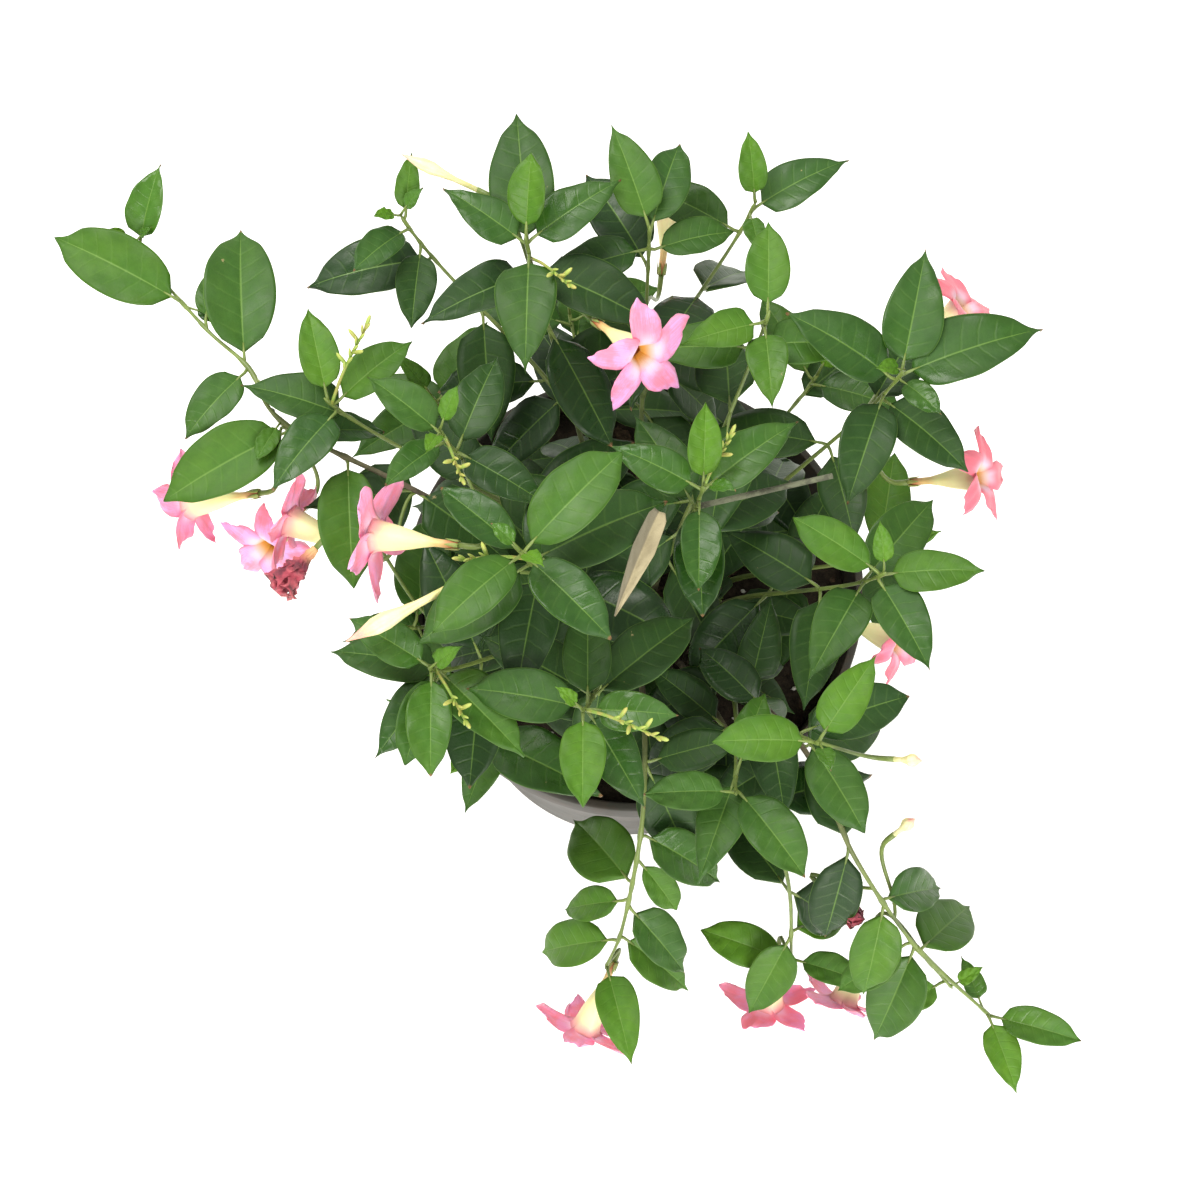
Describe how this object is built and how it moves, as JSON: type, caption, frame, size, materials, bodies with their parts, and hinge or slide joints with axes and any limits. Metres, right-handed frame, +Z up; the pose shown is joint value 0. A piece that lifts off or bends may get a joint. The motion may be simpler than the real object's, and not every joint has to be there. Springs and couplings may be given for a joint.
{
  "type": "potted mandevilla plant",
  "caption": "Bushy pot-grown climbing vine with glossy paired leaves and pink funnel-shaped flowers, trailing over one side of its round nursery pot.",
  "frame": {"origin": "middle of the pot's flat foot, on the surface that it stands on", "axes": "+Z up along the pot's axis; the plant leans and trails towards -Y; +X is to the right seen from -Y"},
  "size_m": [0.5939, 0.51, 0.4588],
  "materials": {
    "pot_plastic": "matte moulded plastic, dark grey with a taupe cast, lightly dusty",
    "potting_soil": "loose dark potting soil of peat and bark",
    "leaf_green": "glossy living leaf, paler beneath, with green to brown stems",
    "petal_pink": "soft satin petal, pink with a yellow to orange tube",
    "faded_petal": "dull shrivelled petal, crimson to maroon",
    "bud_cream": "satin unopened bud, cream with a pink tip",
    "dry_leaf_tan": "dry papery leaf, matte tan"
  },
  "bodies": {
    "root": {"bloom_back": "petal_pink", "bloom_front_right": "petal_pink", "bloom_hanging": "petal_pink", "bloom_left_facing": "petal_pink", "bloom_left_inner": "petal_pink", "bloom_left_lower": "petal_pink", "bloom_left_outer": "petal_pink", "bloom_middle": "petal_pink", "bloom_right": "petal_pink", "bloom_right_back": "petal_pink", "bloom_right_front": "petal_pink", "bloom_star": "petal_pink", "bud_back_left": "bud_cream", "bud_front_right": "bud_cream", "bud_left": "bud_cream", "bud_trailing_right": "bud_cream", "cane_back": "leaf_green", "cane_back_left": "leaf_green", "cane_back_low": "leaf_green", "cane_back_right": "leaf_green", "cane_centre": "leaf_green", "cane_centre_right": "leaf_green", "cane_crest": "leaf_green", "cane_front": "leaf_green", "cane_front_left": "leaf_green", "cane_front_left_low": "leaf_green", "cane_front_right": "leaf_green", "cane_left_arm": "leaf_green", "cane_left_side": "leaf_green", "cane_right": "leaf_green", "cane_right_front": "leaf_green", "cane_right_side": "leaf_green", "cane_top_left": "leaf_green", "cane_trailing_front": "leaf_green", "cane_trailing_middle": "leaf_green", "cane_trailing_right": "leaf_green", "dry_leaf": "dry_leaf_tan", "faded_bloom_left": "faded_petal", "faded_bloom_right": "faded_petal", "pot": "pot_plastic", "soil": "potting_soil"}
  },
  "joints": []
}
